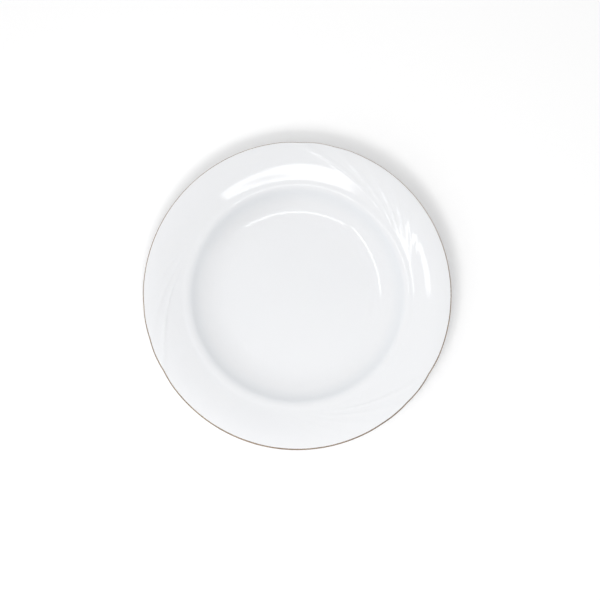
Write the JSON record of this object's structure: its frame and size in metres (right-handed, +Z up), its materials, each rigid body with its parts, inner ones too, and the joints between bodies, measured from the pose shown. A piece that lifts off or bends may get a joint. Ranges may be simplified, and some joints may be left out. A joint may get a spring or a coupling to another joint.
{
  "type": "dinner plate",
  "caption": "Round china dinner plate with a flat well, a round cove, a broad rim of fine swirling ribs, a bare foot ring and a thin gold edge.",
  "frame": {"origin": "centre of the plane that the foot ring rests on", "axes": "+Z up, out of the well; +Y towards the highest rib of one fan, so that each fan's highest rib meets the edge at about 90, 210 and 330 degrees from +X"},
  "size_m": [0.2601, 0.2597, 0.027],
  "materials": {
    "porcelain": "unglazed, smooth and matte, seen only on the resting band of the foot ring",
    "glaze": "glossy clear glaze over cool white porcelain",
    "gold": "thin fired gold, bright, slightly worn"
  },
  "bodies": {
    "root": {"porcelain_body": "porcelain", "glaze_coat": "glaze", "glaze_base": "glaze", "gold_edge_line": "gold"}
  },
  "joints": []
}
